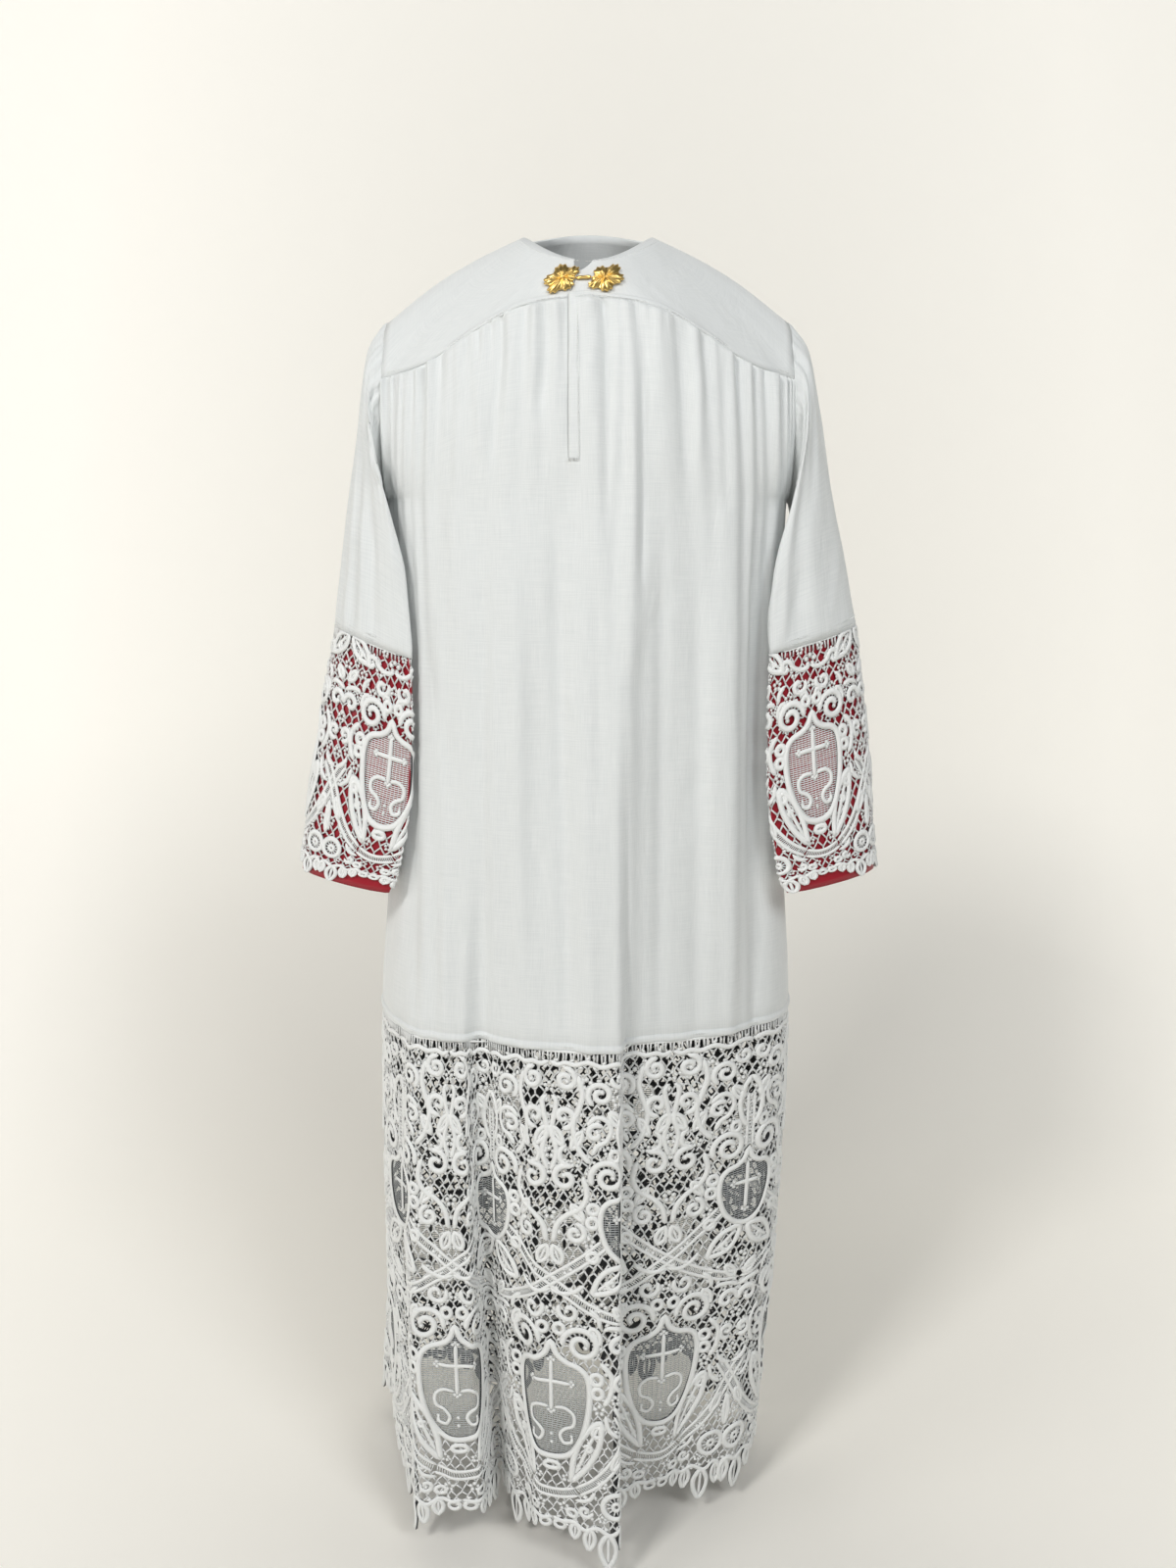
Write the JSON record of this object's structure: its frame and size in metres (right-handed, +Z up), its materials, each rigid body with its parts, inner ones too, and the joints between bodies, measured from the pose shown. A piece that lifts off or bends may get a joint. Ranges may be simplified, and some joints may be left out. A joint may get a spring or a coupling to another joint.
{
  "type": "lace-trimmed alb",
  "caption": "Full-length white liturgical robe gathered into a shoulder yoke, with set-in sleeves, openwork lace at hem and cuffs, red cuff linings and a gilt leaf clasp at the neck.",
  "frame": {"origin": "inside the neckline, midway between the two sides of the neck, at the height where the wearer's shoulders hold the robe up", "axes": "+Z up along the wearer, -Y towards the front of the robe, +X towards the wearer's left sleeve"},
  "size_m": [0.6813, 0.3728, 1.5541],
  "materials": {
    "linen": "plain weave, matte",
    "lace": "raised cotton cord lace, matte",
    "lining": "satin",
    "clasp": "polished gilt casting"
  },
  "bodies": {
    "root": {"front_panel": "linen", "back_panel": "linen", "yoke_right": "linen", "yoke_left": "linen", "yoke_back": "linen", "sleeve_right": "linen", "sleeve_left": "linen", "hem_lace_front": "lace", "hem_lace_back": "lace", "cuff_lace_front_right": "lace", "cuff_lace_back_right": "lace", "cuff_lace_front_left": "lace", "cuff_lace_back_left": "lace", "cuff_lining_right": "lining", "cuff_lining_left": "lining", "clasp_right": "clasp", "clasp_left": "clasp", "clasp_hook": "clasp"}
  },
  "joints": []
}
